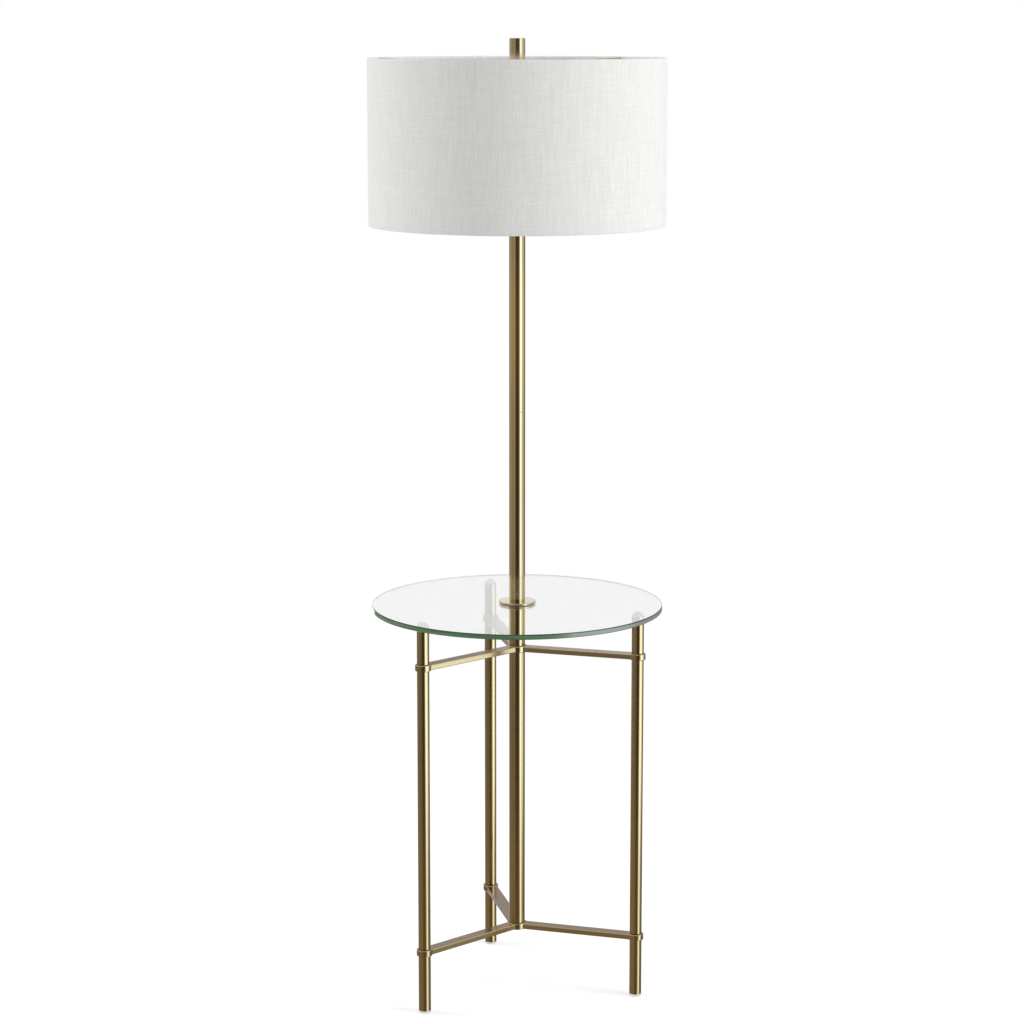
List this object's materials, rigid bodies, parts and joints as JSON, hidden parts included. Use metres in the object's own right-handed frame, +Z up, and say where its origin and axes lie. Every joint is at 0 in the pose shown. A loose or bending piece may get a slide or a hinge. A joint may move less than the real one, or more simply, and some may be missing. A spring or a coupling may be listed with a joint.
{
  "type": "floor lamp with table",
  "caption": "Floor lamp on straight tube legs, with a round glass table clamped round its pole and a linen drum shade on a harp.",
  "frame": {"origin": "on the floor, on the axis of the pole", "axes": "+Z up along the pole, +Y towards the back leg, +X to the right, with the other legs at the front left and the front right"},
  "size_m": [0.4572, 0.4572, 1.4986],
  "materials": {
    "brass": "brushed satin brass plating",
    "steel": "plain zinc-plated",
    "clear_plastic": "clear soft plastic",
    "black_plastic": "satin moulded",
    "table_glass": "clear polished glass with a green edge",
    "card": "pressed fibre board",
    "contact_brass": "plain stamped brass",
    "bulb_metal": "nickel-plated",
    "bulb_plastic": "satin white",
    "bulb_globe": "frosted white",
    "linen": "off-white slub linen weave",
    "shade_liner": "stiff white styrene sheet"
  },
  "bodies": {
    "stand": {"lower_bracket": "brass", "upper_bracket": "brass", "leg_foot_left": "brass", "leg_foot_right": "brass", "leg_foot_back": "brass", "leg_main_left": "brass", "leg_main_right": "brass", "leg_main_back": "brass", "leg_top_left": "brass", "leg_top_right": "brass", "leg_top_back": "brass", "leg_plugs": "steel", "leg_studs_lower": "steel", "leg_studs_upper": "steel", "floor_glide_left": "clear_plastic", "floor_glide_right": "clear_plastic", "floor_glide_back": "clear_plastic", "glass_bumper_left": "clear_plastic", "glass_bumper_right": "clear_plastic", "glass_bumper_back": "clear_plastic", "pole_lower": "brass", "pole_neck": "brass", "pole_middle": "brass", "pole_upper": "brass", "pole_centring_rings": "steel", "pole_threaded_plugs": "steel", "pole_joint_nipple": "steel", "tie_pipe": "steel", "bottom_washer": "steel", "bottom_nut": "steel", "cord_bushing": "black_plastic", "table_glass": "table_glass", "table_flange": "brass", "flange_gasket": "clear_plastic", "glass_seat_washer": "clear_plastic", "pole_cap": "brass", "head_nipple": "steel", "harp_saddle": "brass", "harp": "brass", "holder_cap": "brass", "holder_shell": "brass", "holder_liner": "card", "switch_body": "black_plastic", "screw_shell": "contact_brass", "centre_contact": "contact_brass"},
    "shade": {"shade_spider": "brass", "shade_top_ring": "brass", "shade_bottom_ring": "brass", "shade_liner": "shade_liner", "shade_fabric": "linen", "harp_stud": "brass"},
    "finial": {"finial": "brass"},
    "bulb": {"bulb_base": "bulb_metal", "bulb_tip": "bulb_metal", "bulb_housing": "bulb_plastic", "bulb_globe": "bulb_globe"},
    "switch": {"switch_shaft": "steel", "switch_key": "black_plastic"},
    "sleeve_left": {"harp_sleeve_left": "brass"},
    "sleeve_right": {"harp_sleeve_right": "brass"}
  },
  "joints": [
    {"name": "shade_swivel", "type": "hinge", "parent": "stand", "child": "shade", "pos_m": [0, 0, 1.4534], "axis": [0, 0, 1], "continuous": true},
    {"name": "finial_turn", "type": "hinge", "parent": "shade", "child": "finial", "pos_m": [0, 0, 1.4586], "axis": [0, 0, 1], "range_deg": [0, 3240]},
    {"name": "bulb_turn", "type": "hinge", "parent": "stand", "child": "bulb", "pos_m": [0, 0, 1.3], "axis": [0, 0, 1], "range_deg": [0, 1620]},
    {"name": "switch_turn", "type": "hinge", "parent": "stand", "child": "switch", "pos_m": [0, -0.02, 1.2757], "axis": [0, -1, 0], "continuous": true},
    {"name": "sleeve_left_slide", "type": "slide", "parent": "stand", "child": "sleeve_left", "axis": [0, 0, 1], "range_m": [0, 0.012]},
    {"name": "sleeve_right_slide", "type": "slide", "parent": "stand", "child": "sleeve_right", "axis": [0, 0, 1], "range_m": [0, 0.012]}
  ]
}
